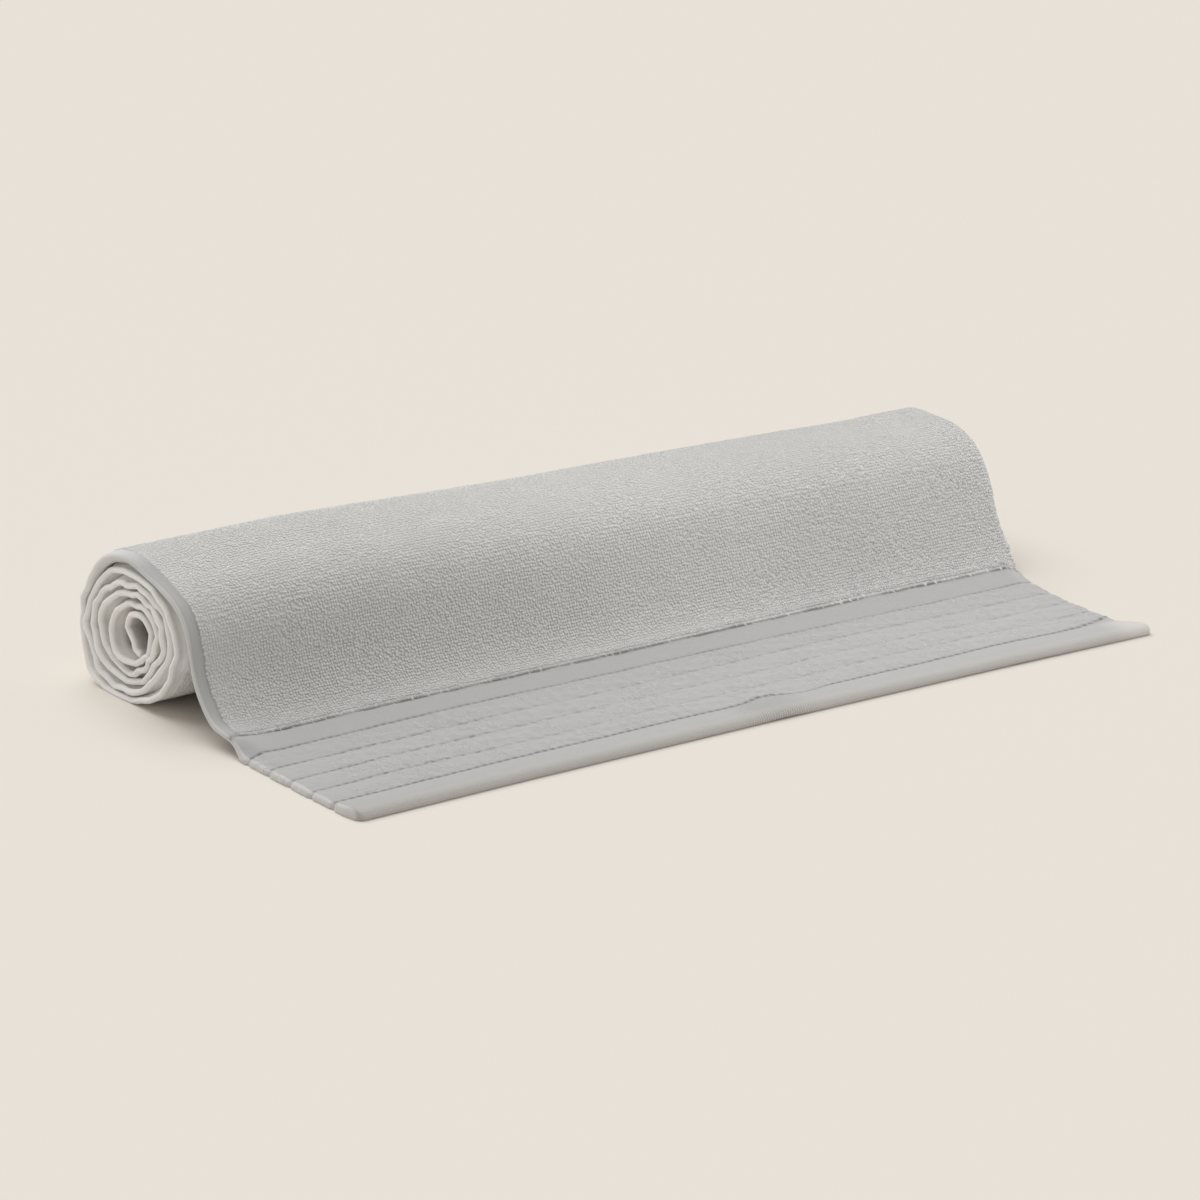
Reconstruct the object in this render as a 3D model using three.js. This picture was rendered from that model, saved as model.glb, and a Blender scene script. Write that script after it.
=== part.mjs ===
// A rolled face towel, 500 mm wide and about 1 m long, in millimetres with +Z up.
// The cloth is wound into a roll along X. Its last 170 mm or so comes down over the front of the
// roll, towards -Y, and ends on the surface in a flat border of five bands and a sewn hem.
// The cloth is one piece, so it is one solid: a strip that follows the spiral, seen end on.
// The origin is on the surface, under the middle of the towel.

import * as THREE from 'three';

// Cloth
const TOWEL_WIDTH = 500;
const PILE_CLOTH = 3.2;
const WOUND_CLOTH = 2.3;
const FLAT_CLOTH = 3.0;
const HEM_CLOTH = 3.4;
const SELVEDGE_WIDTH = 9.5;
const SELVEDGE_STEP = 3;

// Border, measured back from the sewn edge
const HEM_DEPTH = 18;
const BAND_DEPTH = 15.3;
const BAND_COUNT = 5;
const BORDER_DEPTH = HEM_DEPTH + BAND_COUNT * BAND_DEPTH;
const GROOVE_HALF_WIDTH = 1.6;
const GROOVE_CUT = 0.9;

// Roll: its axis is this high, and the turns are given round it
const AXIS_HEIGHT = 33.5;
const EIGHTH = Math.PI / 4;

// Distance of the cloth's middle from the roll's axis, in eight directions, a row for each turn.
// The cloth starts inside, runs back, over the top, down the front and round underneath.
const TURNS = [
  { back: 6.2, backHigh: 9.6, top: 9.8, frontHigh: 9.8, front: 9.9, frontLow: 10.9, low: 14.4, backLow: 18.2 },
  { back: 17.8, backHigh: 15.2, top: 13.4, frontHigh: 15.4, front: 13.8, frontLow: 14.3, low: 19.6, backLow: 24.6 },
  { back: 26.8, backHigh: 21.4, top: 17.8, frontHigh: 19.2, front: 19.4, frontLow: 18.5, low: 23.6, backLow: 30.0 },
  { back: 32.6, backHigh: 26.6, top: 22.0, frontHigh: 23.1, front: 23.4, frontLow: 22.6, low: 28.6, backLow: 35.6 },
  { back: 37.3, backHigh: 33.0, top: 27.2, frontHigh: 28.0, front: 30.6, frontLow: 30.6, low: 32.1, backLow: 41.0 },
];
const INNER_END = [
  { angle: -2.35 * EIGHTH, radius: 9.6 },
  { angle: -1 * EIGHTH, radius: 5.8 },
];
const OUTER_TURN = [
  { angle: 0, radius: 41.6 },
  { angle: EIGHTH, radius: 40.8 },
];

// The outer layer from the crest of the roll down to the border. Each row is a place on the middle
// of the cloth, forward of the roll's axis and above the surface, at the left and the right end.
const FRONT = [
  { place: 'crest', forward: -7, height: 68.4, rightForward: 1, rightHeight: 65.6 },
  { place: 'shoulder', forward: 7.5, height: 64.8, rightForward: 15.5, rightHeight: 65.0 },
  { place: 'brow', forward: 19.5, height: 60.9, rightForward: 24.5, rightHeight: 61.8 },
  { place: 'upper face', forward: 31.5, height: 54.6, rightForward: 32.5, rightHeight: 55.6 },
  { place: 'face', forward: 38.2, height: 46.5, rightForward: 39.8, rightHeight: 46.1 },
  { place: 'middle', forward: 42.0, height: 36.5, rightForward: 46.4, rightHeight: 35.5 },
  { place: 'lower face', forward: 46.0, height: 26.5, rightForward: 53.2, rightHeight: 25.0 },
  { place: 'bend', forward: 52.8, height: 16.8, rightForward: 59.8, rightHeight: 15.8 },
  { place: 'foot', forward: 62.5, height: 8.8, rightForward: 67.0, rightHeight: 9.2 },
  { place: 'pile edge', forward: 74.2, height: 5.1, rightForward: 74.2, rightHeight: 5.4 },
  { place: 'first band', forward: 89.0, height: 2.6, rightForward: 89.0, rightHeight: 2.5 },
  { place: 'second band', forward: 103.0, height: 1.6, rightForward: 103.0, rightHeight: 1.6 },
  { place: 'on the surface', forward: 110.0, height: 1.5, rightForward: 110.0, rightHeight: 1.5 },
  { place: 'sewn edge', forward: 167.9, height: 1.5, rightForward: 167.9, rightHeight: 1.5 },
];

// How the roll wanders from its left end to its right end, and how far back the border bows
const STATIONS = [
  { along: 0, forward: 0, lift: 0, bow: 0 },
  { along: 0.2, forward: 1.2, lift: 1.8, bow: 1.8 },
  { along: 0.5, forward: 5.2, lift: 0.4, bow: 2.6 },
  { along: 0.8, forward: 7.4, lift: -0.6, bow: 1.8 },
  { along: 1, forward: 8.6, lift: -0.8, bow: 0 },
];

// Right edge of the cloth, measured from the sewn edge of the border
const RIGHT_EDGE = [
  { fromHem: 0, x: 504 },
  { fromHem: HEM_DEPTH, x: 499 },
  { fromHem: HEM_DEPTH + 2 * BAND_DEPTH, x: TOWEL_WIDTH },
  { fromHem: BORDER_DEPTH, x: 505 },
  { fromHem: BORDER_DEPTH + 50, x: 512 },
  { fromHem: 2 * TOWEL_WIDTH, x: 512 },
];

// Mesh spacing
const CORE_STEP = 3.8;
const OUTER_STEP = 9.5;
const INSIDE_STATIONS = 6;

// Value of one column of a table at a place between its rows
function readTable(rows, key, column, place) {
  const last = rows[rows.length - 1];
  if (place >= last[key]) return last[column];
  const index = rows.findIndex((row) => row[key] > place);
  if (index <= 0) return rows[0][column];
  const low = rows[index - 1];
  const high = rows[index];
  const share = (place - low[key]) / (high[key] - low[key]);
  return THREE.MathUtils.lerp(low[column], high[column], share);
}

// Route of the cloth's middle in the section at one place along the roll, from the inner end to the
// sewn edge, as points with x forward and y up
function routeAt(along) {
  const forward = readTable(STATIONS, 'along', 'forward', along);
  const lift = readTable(STATIONS, 'along', 'lift', along);
  const bow = readTable(STATIONS, 'along', 'bow', along);
  const points = [];
  const addTurned = (angle, radius) => {
    const height = AXIS_HEIGHT + radius * Math.sin(angle);
    const raised = height + lift * (height / AXIS_HEIGHT / 2);
    points.push(new THREE.Vector3(forward - radius * Math.cos(angle), raised, 0));
  };
  INNER_END.forEach((row) => addTurned(row.angle, row.radius));
  TURNS.forEach((row) => {
    Object.values(row).forEach((radius, index) => addTurned(index * EIGHTH, radius));
  });
  OUTER_TURN.forEach((row) => addTurned(row.angle, row.radius));
  FRONT.forEach((row) => {
    const x = THREE.MathUtils.lerp(row.forward, row.rightForward, along);
    const y = THREE.MathUtils.lerp(row.height, row.rightHeight, along);
    const onRoll = THREE.MathUtils.smoothstep(row.height, AXIS_HEIGHT, 2 * AXIS_HEIGHT);
    const onSurface = 1 - THREE.MathUtils.smoothstep(row.height, AXIS_HEIGHT / 4, AXIS_HEIGHT);
    points.push(new THREE.Vector3(x - bow * onSurface, y + lift * onRoll, 0));
  });
  const curve = new THREE.CatmullRomCurve3(points, false, 'centripetal');
  curve.arcLengthDivisions = 2400;
  return curve;
}

// Distances back from the sewn edge at which the border is sampled: both sides and the floor of
// each groove, and the middle of the hem
function borderSamples() {
  const samples = [0, HEM_DEPTH / 2];
  for (let line = 0; line <= BAND_COUNT; line += 1) {
    const groove = HEM_DEPTH + line * BAND_DEPTH;
    samples.push(groove - GROOVE_HALF_WIDTH, groove, groove + GROOVE_HALF_WIDTH);
  }
  return samples;
}

// Shares of the way from the border to the inner end, closer together towards the core
function pileSamples(length) {
  const shares = [];
  let done = 8;
  while (done < length) {
    shares.push(done / length);
    done += THREE.MathUtils.lerp(OUTER_STEP, CORE_STEP, done / length);
  }
  shares.push(1);
  return shares;
}

// How deep the groove is at a distance from the sewn edge
function grooveAt(fromHem) {
  const line = Math.round((fromHem - HEM_DEPTH) / BAND_DEPTH);
  if (line < 0 || line > BAND_COUNT) return 0;
  const away = Math.abs(fromHem - HEM_DEPTH - line * BAND_DEPTH);
  return GROOVE_CUT * Math.max(0, 1 - away / GROOVE_HALF_WIDTH);
}

// Cloth's thickness: a folded hem, flat bands, thick pile over the roll and thinner cloth inside
// it, with a flat selvedge down both sides
function thicknessAt(fromHem, fromSide) {
  if (fromHem < HEM_DEPTH) return HEM_CLOTH;
  if (fromHem < BORDER_DEPTH + GROOVE_HALF_WIDTH / 2) return FLAT_CLOTH;
  const outer = 1 - THREE.MathUtils.smoothstep(fromHem, 330, 420);
  const pile = THREE.MathUtils.lerp(WOUND_CLOTH, PILE_CLOTH, outer);
  const inside = THREE.MathUtils.smoothstep(fromSide, SELVEDGE_WIDTH, SELVEDGE_WIDTH + SELVEDGE_STEP);
  return THREE.MathUtils.lerp(WOUND_CLOTH, pile, inside);
}

// Two rows of points, over and under the cloth, in the section at one place along the roll
function sectionAt(along, samples) {
  const route = routeAt(along);
  const length = route.getLength();
  const over = [];
  const under = [];
  samples.forEach((sample) => {
    const fromHem = sample.fromHem ?? BORDER_DEPTH + sample.share * (length - BORDER_DEPTH);
    const at = 1 - fromHem / length;
    const middle = route.getPointAt(at);
    const tangent = route.getTangentAt(at);
    const normal = new THREE.Vector2(-tangent.y, tangent.x);
    const right = readTable(RIGHT_EDGE, 'fromHem', 'x', fromHem);
    const x = along * right;
    const half = thicknessAt(fromHem, Math.min(x, right - x)) / 2;
    const place = (offset) => {
      const forward = middle.x + normal.x * offset;
      const height = Math.max(0, middle.y + normal.y * offset);
      return new THREE.Vector3(x, -forward, height);
    };
    const floorLift = Math.max(0, half - middle.y);
    over.push(place(half + floorLift - grooveAt(fromHem)));
    under.push(place(-half));
  });
  return { over, under };
}

// The strip's surface: a closed ring of points at each station, joined ring to ring and capped
function buildTowelGeometry() {
  const samples = borderSamples().map((fromHem) => ({ fromHem }));
  pileSamples(routeAt(0).getLength() - BORDER_DEPTH).forEach((share) => samples.push({ share }));
  const edge = SELVEDGE_WIDTH / TOWEL_WIDTH;
  const step = (SELVEDGE_WIDTH + SELVEDGE_STEP) / TOWEL_WIDTH;
  const stations = [0, edge, step];
  for (let index = 1; index <= INSIDE_STATIONS; index += 1) {
    stations.push(step + (index / (INSIDE_STATIONS + 1)) * (1 - 2 * step));
  }
  stations.push(1 - step, 1 - edge, 1);

  const positions = [];
  stations.forEach((along) => {
    const { over, under } = sectionAt(along, samples);
    [...over, ...under.reverse()].forEach((point) => positions.push(point.x, point.y, point.z));
  });

  const ring = 2 * samples.length;
  const triangles = [];
  for (let station = 0; station + 1 < stations.length; station += 1) {
    for (let index = 0; index < ring; index += 1) {
      const next = (index + 1) % ring;
      const a = station * ring + index;
      const b = station * ring + next;
      triangles.push(a, a + ring, b, b, a + ring, b + ring);
    }
  }
  const lastRing = (stations.length - 1) * ring;
  for (let index = 0; index + 1 < samples.length; index += 1) {
    const [a, b] = [index, index + 1];
    const [c, d] = [ring - 1 - index, ring - 2 - index];
    triangles.push(a, b, c, b, d, c);
    triangles.push(lastRing + a, lastRing + c, lastRing + b, lastRing + b, lastRing + c, lastRing + d);
  }

  const geometry = new THREE.BufferGeometry();
  geometry.setAttribute('position', new THREE.Float32BufferAttribute(positions, 3));
  geometry.setIndex(triangles);
  geometry.computeBoundingBox();
  const centre = geometry.boundingBox.getCenter(new THREE.Vector3());
  geometry.translate(-centre.x, -centre.y, 0);
  geometry.computeVertexNormals();
  return geometry;
}

const cotton = new THREE.MeshStandardMaterial({ color: 0xd3d2ce, roughness: 0.95, metalness: 0 });
const towel = new THREE.Mesh(buildTowelGeometry(), cotton);
towel.name = 'towel_cloth';

const rolledTowel = new THREE.Group();
rolledTowel.add(towel);

export default rolledTowel;
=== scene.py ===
"""Rolled face towel, dressed over its CAD solid.

The towel is one thin sheet of terry cloth, wound along X, whose outer end comes down over the front
of the roll, towards -Y, to a flat border of bands and a sewn hem. Lengths in the tables are
millimetres; everything handed to Blender is in metres, with +Z up.
"""

import math

import bpy
import numpy as np
from mathutils import Matrix, Vector


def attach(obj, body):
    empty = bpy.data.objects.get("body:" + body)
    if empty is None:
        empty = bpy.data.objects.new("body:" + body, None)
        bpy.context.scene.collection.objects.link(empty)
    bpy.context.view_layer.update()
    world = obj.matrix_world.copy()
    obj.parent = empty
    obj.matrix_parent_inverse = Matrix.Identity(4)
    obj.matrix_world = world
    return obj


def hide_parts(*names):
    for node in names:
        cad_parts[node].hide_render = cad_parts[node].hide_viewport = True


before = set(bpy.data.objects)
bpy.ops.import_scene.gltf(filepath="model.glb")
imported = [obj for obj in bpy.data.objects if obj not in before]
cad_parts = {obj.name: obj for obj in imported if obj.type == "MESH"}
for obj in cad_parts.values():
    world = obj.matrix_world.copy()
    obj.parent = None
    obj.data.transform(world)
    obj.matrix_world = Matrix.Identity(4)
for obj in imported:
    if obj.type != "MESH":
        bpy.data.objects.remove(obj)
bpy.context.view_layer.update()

MM = 0.001

# Camera, fitted to the photograph
CAMERA_TARGET = Vector((-0.01775, 0.00809, 0.0275))
CAMERA_DISTANCE = 2.8666
CAMERA_AZIMUTH = math.radians(42.758)
CAMERA_ELEVATION = math.radians(19.396)
CAMERA_ROLL = math.radians(5.0)
CAMERA_LENS = 180
CAMERA_SENSOR = 36

# Stage and lights
FLOOR_HALF_SIZE = 6.0
FLOOR_COLOUR = (0.882, 0.834, 0.768, 1)
SKY_COLOUR = (1.0, 0.985, 0.965, 1)
SKY_STRENGTH = 0.455
SUN_DIRECTION = (0.07, -0.52, -1.0)
SUN_COLOUR = (1.0, 0.995, 0.985)
SUN_STRENGTH = 1.63
SUN_SPREAD = 65
SIDE_LIGHT_PLACE = Vector((0.26, -0.42, 0.60))
SIDE_LIGHT_AIM = Vector((0.10, 0.0, 0.03))
SIDE_LIGHT_SIZE = 0.4
SIDE_LIGHT_POWER = 1.5

# Colours of the cloth, and of the light and shade painted on it
LOOP_PALE = (0.78, 0.772, 0.755, 1)
# painted shade between the loops
LOOP_GAP_SHADE = (0.64, 0.616, 0.586, 1)
BROAD_PATCH = (0.672, 0.655, 0.631, 1)
# painted shade on the front of the roll
FRONT_LEFT_PAINTED_SHADE = (0.575, 0.57, 0.56, 1)
# painted shade in place of the loops' own shadows where they are low
CALM_RIGHT_PAINTED_SHADE = (0.70, 0.691, 0.674, 1)
FLAT_WEAVE = (0.383, 0.379, 0.373, 1)
HEM_FACE = (0.368, 0.364, 0.357, 1)
# painted highlights on the crinkles' folds
CRINKLE_PAINTED_HIGHLIGHT = (0.56, 0.557, 0.55, 1)
# paler cloth of the inner turns, brightened further with painted light
INNER_TURNS_PALE_WITH_PAINTED_LIGHT = (0.90, 0.892, 0.872, 1)
CORE_SHADE = (0.36, 0.315, 0.275, 1)
# painted highlight along the flap's side edge
SIDE_RIM_PAINTED_HIGHLIGHT = (0.58, 0.577, 0.57, 1)
HEM_LOW_EDGE = (0.70, 0.655, 0.59, 1)
HEM_TIP = (0.56, 0.535, 0.505, 1)
# stitched lines, and painted shade at the pile's edges
STITCHES_AND_PAINTED_SHADE = (0.13, 0.122, 0.115, 1)

# Cloth
TOWEL_WIDTH = 500
PILE_GROUND = 2.0
PILE_MOST = 6.4
SELVEDGE_CLOTH = 2.6
FLAT_CLOTH = 3.0
HEM_CLOTH = 3.4
SELVEDGE_WIDTH = 6.8
HEM_DEPTH = 18
BAND_DEPTH = 15.3
BAND_COUNT = 5
BORDER_DEPTH = HEM_DEPTH + BAND_COUNT * BAND_DEPTH
CORNER_RADIUS = 4.5

# Where the section's zero lies in the model's frame
SHIFT_X = -256
SHIFT_Y = 62.59

# Route of the cloth's middle, as in the CAD part
AXIS_HEIGHT = 33.5
EIGHTH = math.pi / 4
TURNS = (
    # back, back high, top, front high, front, front low, low, back low
    (6.2, 9.6, 9.8, 9.8, 9.9, 10.9, 14.4, 18.2),
    (17.8, 15.2, 13.4, 15.4, 13.8, 14.3, 19.6, 24.6),
    (26.8, 21.4, 17.8, 19.2, 19.4, 18.5, 23.6, 30.0),
    (32.6, 26.6, 22.0, 23.1, 23.4, 22.6, 28.6, 35.6),
    (37.3, 33.0, 27.2, 28.0, 30.6, 30.6, 32.1, 41.0),
)
INNER_END = (
    # angle in eighths, radius
    (-2.35, 10.8),
    (-1.0, 5.8),
)
OUTER_TURN = (
    # angle in eighths, radius
    (0.0, 41.6),
    (1.0, 40.8),
)
FRONT = (
    # forward and height at the left end, then at the right end
    (-7.0, 68.4, 1.0, 65.6),
    (7.5, 64.8, 15.5, 65.0),
    (19.5, 60.9, 24.5, 61.8),
    (31.5, 54.6, 32.5, 55.6),
    (38.2, 46.5, 39.8, 46.1),
    (42.0, 36.5, 46.4, 35.5),
    (46.0, 26.5, 53.2, 25.0),
    (52.8, 16.8, 59.8, 15.8),
    (62.5, 8.8, 67.0, 9.2),
    (74.2, 5.1, 74.2, 5.4),
    (89.0, 2.6, 89.0, 2.5),
    (103.0, 1.6, 103.0, 1.6),
    (110.0, 1.5, 110.0, 1.5),
    (167.9, 1.5, 167.9, 1.5),
)
STATIONS = (
    # along, forward, lift, bow
    (0.0, 0.0, 0.0, 0.0),
    (0.2, 1.2, 1.8, 1.8),
    (0.5, 5.2, 0.4, 2.6),
    (0.8, 7.4, -0.6, 1.8),
    (1.0, 8.6, -0.8, 0.0),
)
RIGHT_EDGE = (
    # from the sewn edge, x
    (0.0, 504.0),
    (18.0, 499.0),
    (48.6, 497.5),
    (70.0, 499.5),
    (94.5, 505.0),
    (144.5, 512.0),
    (1000.0, 512.0),
)

# Sampling of the sheet
ROUTE_STEPS = 48
OUTER_TURN_DEPTH = 430
OUTER_ROW = 3.4
INNER_ROW = 3.6
EDGE_COLUMNS = (0, 0.12, 0.4, 0.8, 1.35, 2.2, 3.3, 4.6, 5.8, 6.6, 7.4, 8.2, 9.2, 10.6, 12.6, 16.0, 21.0)
MIDDLE_COLUMNS = 28
OUTER_SPLIT = 4
BORDER_SPLIT = 8

# Stitched lines of the border, from the hem's up to the pile's edge
LINES = (
    # half width, depth at the left and the right, darkness at the left and the right
    (0.85, 0.10, 0.10, 1.90, 2.10),
    (0.70, 0.26, 0.10, 1.30, 0.34),
    (0.70, 0.26, 0.10, 1.30, 0.34),
    (0.70, 0.28, 0.10, 1.35, 0.50),
    (0.75, 0.30, 0.20, 1.40, 1.00),
    # the pile's edge: its darkness is painted shade under the loops' overhang
    (1.35, 1.20, 1.10, 1.20, 1.40),
)
# Places where a line leaves its straight course
LINE_BENDS = (
    # line, x, half width, shift away from the sewn edge
    (0, 505, 26, 5.0),
    (0, 267, 14, 2.5),
    (0, 288, 12, -2.3),
    (0, 120, 40, 0.7),
    (1, 150, 40, -0.8),
    (2, 95, 30, 0.8),
    (3, 180, 50, -0.7),
    (3, 330, 40, 0.6),
    (4, 120, 60, 0.8),
    (4, 400, 60, -0.7),
    (5, 70, 40, 0.5),
    (5, 240, 50, -0.6),
    (5, 420, 50, 0.7),
)
# Soft rises of the border off the surface
BORDER_RISES = (
    # x, from the sewn edge, half width along x, half width back, height
    (262, 10, 14, 16, 0.8),
    (60, 40, 30, 16, 0.8),
    (150, 62, 40, 14, 0.8),
    (205, 30, 34, 18, 0.7),
    (350, 45, 40, 20, 0.9),
    (420, 20, 36, 18, 0.8),
    (0, 92, 14, 13, 2.4),
)

# Pile loops
LOOP_PITCH = 1.55
LOOP_HEIGHT = 0.62
LOOP_RADIUS = 0.92
LOOP_END = 345
LOOP_POINTS = 9  # four at the foot, four round the middle and one on top
LOOP_PIECES = (
    # name, from, to, measured from the sewn edge
    ("pile_loops_front", 95.0, 157.0),
    ("pile_loops_top", 157.0, 219.0),
    ("pile_loops_back", 219.0, 281.0),
    ("pile_loops_low", 281.0, 343.0),
)

# Soft dents and swells of the outer layer
SWELLS = (
    # x, from the sewn edge, half width along x, half width round the roll, height
    (60, 150, 40, 30, 0.7),
    (150, 185, 60, 26, -0.7),
    (215, 140, 45, 24, 0.6),
    (300, 200, 70, 30, 0.6),
    (330, 150, 50, 20, -0.6),
    (405, 170, 40, 34, 0.8),
    (455, 205, 30, 26, -0.7),
    (110, 250, 50, 30, 0.6),
    (250, 262, 60, 28, -0.6),
    (380, 255, 46, 30, 0.7),
    (70, 330, 40, 30, -0.6),
    (190, 345, 60, 34, 0.7),
    (320, 335, 50, 30, -0.7),
    (440, 350, 40, 30, 0.6),
)


def smooth(value, low, high):
    t = np.clip((value - low) / (high - low), 0.0, 1.0)
    return t * t * (3 - 2 * t)


def mix(a, b, t):
    return a + (b - a) * t


def wave(value, length, phase=0.0):
    return np.sin(value * (2 * math.pi / length) + phase)


def table(rows, column, place):
    rows = np.array(rows)
    return np.interp(place, rows[:, 0], rows[:, column])


def add_camera():
    east, north = math.sin(CAMERA_AZIMUTH), math.cos(CAMERA_AZIMUTH)
    level, drop = math.cos(CAMERA_ELEVATION), math.sin(CAMERA_ELEVATION)
    ahead = Vector((east * level, north * level, -drop))
    flat_right = Vector((north, -east, 0))
    flat_up = flat_right.cross(ahead)
    turn, tip = math.cos(CAMERA_ROLL), math.sin(CAMERA_ROLL)
    right = flat_right * turn + flat_up * tip
    up = flat_up * turn - flat_right * tip
    place = CAMERA_TARGET - ahead * CAMERA_DISTANCE
    data = bpy.data.cameras.new("view")
    data.lens = CAMERA_LENS
    data.sensor_width = CAMERA_SENSOR
    data.clip_start = 0.05
    data.clip_end = 50
    camera = bpy.data.objects.new("view", data)
    bpy.context.scene.collection.objects.link(camera)
    axes = Matrix((right, up, -ahead)).transposed().to_4x4()
    camera.matrix_world = Matrix.Translation(place) @ axes
    bpy.context.scene.camera = camera


def add_sun():
    """One broad soft light from above, a little to the back."""
    data = bpy.data.lights.new("overhead", "SUN")
    data.energy = SUN_STRENGTH
    data.angle = math.radians(SUN_SPREAD)
    data.color = SUN_COLOUR
    light = bpy.data.objects.new("overhead", data)
    light.rotation_euler = Vector(SUN_DIRECTION).to_track_quat("-Z", "Y").to_euler()
    bpy.context.scene.collection.objects.link(light)


def add_side_light(pieces):
    """A soft light from the right and the front that falls on the towel, and leaves the backdrop even."""
    data = bpy.data.lights.new("side", "AREA")
    data.shape = "DISK"
    data.size = SIDE_LIGHT_SIZE
    data.energy = SIDE_LIGHT_POWER
    light = bpy.data.objects.new("side", data)
    light.location = SIDE_LIGHT_PLACE
    aim = SIDE_LIGHT_AIM - light.location
    light.rotation_euler = aim.to_track_quat("-Z", "Y").to_euler()
    bpy.context.scene.collection.objects.link(light)
    lit = bpy.data.collections.new("lit_from_the_side")
    for piece in pieces:
        lit.objects.link(piece)
    light.light_linking.receiver_collection = lit


def add_stage():
    """A pale floor under a pale even sky."""
    size = FLOOR_HALF_SIZE
    mesh = bpy.data.meshes.new("floor")
    corners = [(-size, -size, 0), (size, -size, 0), (size, size, 0), (-size, size, 0)]
    mesh.from_pydata(corners, [], [(0, 1, 2, 3)])
    floor = bpy.data.objects.new("floor", mesh)
    bpy.context.scene.collection.objects.link(floor)
    material = bpy.data.materials.new("floor_paper")
    material.use_nodes = True
    shader = material.node_tree.nodes["Principled BSDF"]
    shader.inputs["Base Color"].default_value = FLOOR_COLOUR
    shader.inputs["Roughness"].default_value = 1.0
    shader.inputs["Specular IOR Level"].default_value = 0.0
    mesh.materials.append(material)

    world = bpy.data.worlds.new("studio")
    world.use_nodes = True
    background = world.node_tree.nodes["Background"]
    background.inputs["Color"].default_value = SKY_COLOUR
    background.inputs["Strength"].default_value = SKY_STRENGTH
    bpy.context.scene.world = world
    view = bpy.context.scene.view_settings
    view.view_transform = "Standard"
    view.look = "None"
    view.exposure = 0
    view.gamma = 1


def route_points(along):
    """Points that the cloth's middle passes through in the section at one place along the roll."""
    forward, lift, bow = (table(STATIONS, column, along) for column in (1, 2, 3))
    points = []
    turned = [(angle * EIGHTH, radius) for angle, radius in INNER_END]
    for turn in TURNS:
        turned += [(index * EIGHTH, radius) for index, radius in enumerate(turn)]
    turned += [(angle * EIGHTH, radius) for angle, radius in OUTER_TURN]
    for angle, radius in turned:
        height = AXIS_HEIGHT + radius * math.sin(angle)
        points.append((forward - radius * math.cos(angle), height + lift * height / (2 * AXIS_HEIGHT)))
    for left_forward, left_height, right_forward, right_height in FRONT:
        x = mix(left_forward, right_forward, along)
        y = mix(left_height, right_height, along)
        on_roll = smooth(left_height, AXIS_HEIGHT, 2 * AXIS_HEIGHT)
        on_surface = 1 - smooth(left_height, AXIS_HEIGHT / 4, AXIS_HEIGHT)
        points.append((x - bow * on_surface, y + lift * on_roll))
    return np.array(points)


def trace_route(along):
    """Even curve through the points, with the distance back from the sewn edge of each of its samples."""
    points = route_points(along)
    before = 2 * points[0] - points[1]
    after = 2 * points[-1] - points[-2]
    chain = np.vstack([before, points, after])
    gap = np.sqrt(np.linalg.norm(np.diff(chain, axis=0), axis=1))[:, None]
    p0, p1, p2, p3 = chain[:-3], chain[1:-2], chain[2:-1], chain[3:]
    g0, g1, g2 = gap[:-2], gap[1:-1], gap[2:]
    t1 = ((p1 - p0) / g0 - (p2 - p0) / (g0 + g1) + (p2 - p1) / g1) * g1
    t2 = ((p2 - p1) / g1 - (p3 - p1) / (g1 + g2) + (p3 - p2) / g2) * g1
    t = (np.arange(ROUTE_STEPS) / ROUTE_STEPS)[:, None, None]
    cubic = 2 * p1 - 2 * p2 + t1 + t2
    square = -3 * p1 + 3 * p2 - 2 * t1 - t2
    curve = p1 + t1 * t + square * t**2 + cubic * t**3
    curve = np.vstack([curve.transpose(1, 0, 2).reshape(-1, 2), points[-1:]])
    walked = np.concatenate([[0], np.cumsum(np.linalg.norm(np.diff(curve, axis=0), axis=1))])
    return curve, walked[-1] - walked


def border_rows():
    """Distances from the sewn edge of the border's rows, closer at the edge and the stitched lines."""
    rows = [0, 0.12, 0.4, 0.9, 1.7, 3.4, 5.4, 7.4, 9.4, 11.4, 13.4, 15.2]
    for line in range(BAND_COUNT + 1):
        groove = HEM_DEPTH + line * BAND_DEPTH
        rows += [groove + offset for offset in (-1.5, -0.9, -0.45, 0, 0.45, 0.9, 1.5)]
        if line < BAND_COUNT:
            rows += [groove + 1.5 + (BAND_DEPTH - 3) * step / 7 for step in range(1, 7)]
    return rows


def outer_rows():
    """Distances from the sewn edge at which the flap and the outer turn are sampled."""
    return np.arange(BORDER_DEPTH + 3.4, OUTER_TURN_DEPTH, OUTER_ROW)


def inner_rows(length):
    """Distances from the sewn edge at which the turns inside the roll are sampled, up to the inner end."""
    inner = np.linspace(OUTER_TURN_DEPTH + 2, length - 1.2, round((length - OUTER_TURN_DEPTH) / INNER_ROW))
    return np.concatenate([inner, [length - 0.8, length - 0.4, length - 0.1, length]])


def column_shares(split):
    """Places across the cloth, from 0 at the left edge to 1 at the right, close together at both edges."""
    edge = np.array(EDGE_COLUMNS) / TOWEL_WIDTH
    middle = np.linspace(edge[-1], 1 - edge[-1], MIDDLE_COLUMNS * split + 1)[1:-1]
    return np.concatenate([edge, middle, 1 - edge[::-1]])


def left_edge(s):
    """Left edge of the cloth at a distance from the sewn edge: a rounded corner, and a notch at each line."""
    corner = np.clip(CORNER_RADIUS - s, 0, CORNER_RADIUS)
    x = CORNER_RADIUS - np.sqrt(CORNER_RADIUS**2 - corner**2)
    lobes = smooth(s, 2, 10) * (1 - smooth(s, BORDER_DEPTH - 14, BORDER_DEPTH - 4))
    return x - 1.1 * lobes + (0.3 + 0.8 * lobes) * line_notch(s) + edge_wander(s, 0.0)


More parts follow.
